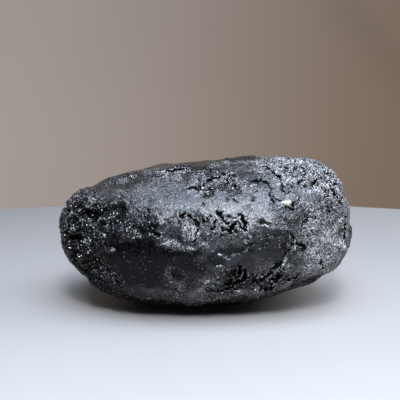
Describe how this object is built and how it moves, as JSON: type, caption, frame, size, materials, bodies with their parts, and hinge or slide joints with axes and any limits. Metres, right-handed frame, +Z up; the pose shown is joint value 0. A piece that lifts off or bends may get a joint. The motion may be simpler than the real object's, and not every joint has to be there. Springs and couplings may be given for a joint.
{
  "type": "indochinite tektite",
  "caption": "Elongated, rounded lump of black natural glass with a satin, pitted and gouged skin, resting on its belly.",
  "frame": {"origin": "on the base, under the middle of the stone's box", "axes": "+X along the stone from its narrow knobbly tip to its blunt end, -Y towards the front with the satin band, +Z up"},
  "size_m": [0.07, 0.0438, 0.0344],
  "materials": {
    "tektite_glass": "black natural glass, satin on its smooth skin and glinting where it is pitted and chipped"
  },
  "bodies": {
    "root": {"tektite": "tektite_glass"}
  },
  "joints": []
}
